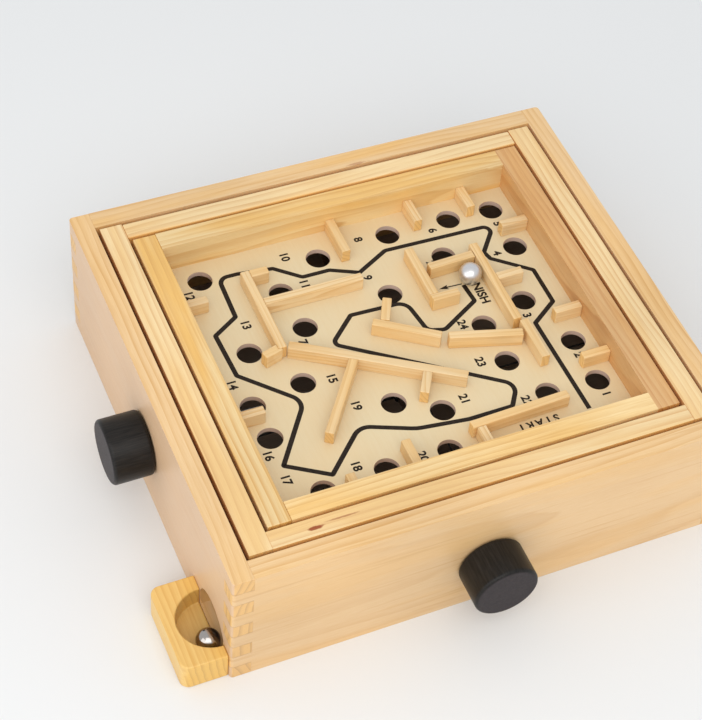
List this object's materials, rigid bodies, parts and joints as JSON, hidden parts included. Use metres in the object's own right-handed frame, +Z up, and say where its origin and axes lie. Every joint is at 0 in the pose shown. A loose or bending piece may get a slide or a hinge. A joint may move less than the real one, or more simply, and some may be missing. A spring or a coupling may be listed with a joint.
{
  "type": "tilt maze game",
  "caption": "Wooden tilt maze: a case, two gimballed frames, a holed maze board, two tilting knobs, steel balls and a ball tray.",
  "frame": {"origin": "middle of the case's underside, on the surface the game stands on", "axes": "+X to the game's right, +Y to its back, +Z up"},
  "size_m": [0.304, 0.2725, 0.082],
  "materials": {
    "case_pine": "clear satin varnish on pine",
    "rail_pine": "clear satin varnish on pale pine",
    "strip_pine": "bare sanded pine",
    "tray_pine": "clear varnish on yellow pine",
    "floor_ply": "bare plywood",
    "printed_board": "smooth cream board with a printed line and numbers",
    "black_stained_wood": "black satin paint on turned wood",
    "steel_hardware": "plain steel",
    "polished_steel": "polished ball bearing steel",
    "cord": "thin braided cord"
  },
  "bodies": {
    "case": {"case_left_wall": "case_pine", "case_right_wall": "case_pine", "case_front_wall": "case_pine", "case_back_wall": "case_pine", "base_board": "floor_ply", "return_floor": "floor_ply", "back_batten": "case_pine", "right_batten": "case_pine", "ball_tray": "tray_pine", "outer_pivot_pins": "steel_hardware", "cord_guides": "steel_hardware", "left_cord": "cord", "front_cord": "cord", "left_cord_spring": "steel_hardware", "front_cord_spring": "steel_hardware"},
    "outer_frame": {"outer_rail_left": "rail_pine", "outer_rail_right": "rail_pine", "outer_rail_front": "rail_pine", "outer_rail_back": "rail_pine", "inner_pivot_pins": "steel_hardware", "outer_frame_hooks": "steel_hardware"},
    "inner_frame": {"inner_rail_left": "rail_pine", "inner_rail_right": "rail_pine", "inner_rail_front": "rail_pine", "inner_rail_back": "rail_pine", "maze_board": "printed_board", "inner_frame_hooks": "steel_hardware", "back_stubs": "strip_pine", "right_stubs": "strip_pine", "left_stubs": "strip_pine", "front_stubs": "strip_pine", "long_wall": "strip_pine", "long_wall_cap": "strip_pine", "long_wall_toe": "strip_pine", "cross_wall": "strip_pine", "diagonal_wall": "strip_pine", "diagonal_branch": "strip_pine", "diagonal_spur": "strip_pine", "slanted_wall": "strip_pine", "slanted_post": "strip_pine", "straight_wall": "strip_pine", "pen_left": "strip_pine", "pen_front": "strip_pine", "pen_back": "strip_pine", "pen_right": "strip_pine", "pen_arm": "strip_pine", "lane_wall": "strip_pine", "start_wall": "strip_pine", "start_post": "strip_pine"},
    "maze_ball": {"maze_ball": "polished_steel"},
    "tray_ball": {"tray_ball": "polished_steel"},
    "left_knob": {"left_knob": "black_stained_wood", "left_shaft": "steel_hardware"},
    "front_knob": {"front_knob": "black_stained_wood", "front_shaft": "steel_hardware"}
  },
  "joints": [
    {"name": "outer_tilt", "type": "hinge", "parent": "case", "child": "outer_frame", "pos_m": [0, 0, 0.073], "axis": [0, 1, 0], "range_deg": [-6, 6], "deforming": ["front_cord", "front_cord_spring"]},
    {"name": "inner_tilt", "type": "hinge", "parent": "outer_frame", "child": "inner_frame", "pos_m": [0, 0, 0.073], "axis": [1, 0, 0], "range_deg": [-6, 6], "deforming": ["left_cord", "left_cord_spring"]},
    {"name": "left_knob_turn", "type": "hinge", "parent": "case", "child": "left_knob", "pos_m": [-0.14, 0, 0.04], "axis": [1, 0, 0], "range_deg": [-112, 112]},
    {"name": "front_knob_turn", "type": "hinge", "parent": "case", "child": "front_knob", "pos_m": [-0.002, -0.125, 0.0345], "axis": [0, 1, 0], "range_deg": [-220, 220]},
    {"name": "maze_ball_lift", "type": "slide", "parent": "inner_frame", "child": "maze_ball", "axis": [0, 0, 1], "range_m": [0, 0.03]},
    {"name": "tray_ball_lift", "type": "slide", "parent": "case", "child": "tray_ball", "axis": [-0.1961, 0, 0.9806], "range_m": [0, 0.03]}
  ],
  "couplings": [
    {"joint": "left_knob_turn", "follows": "inner_tilt", "ratio": 18.6},
    {"joint": "front_knob_turn", "follows": "outer_tilt", "ratio": 36.4}
  ]
}
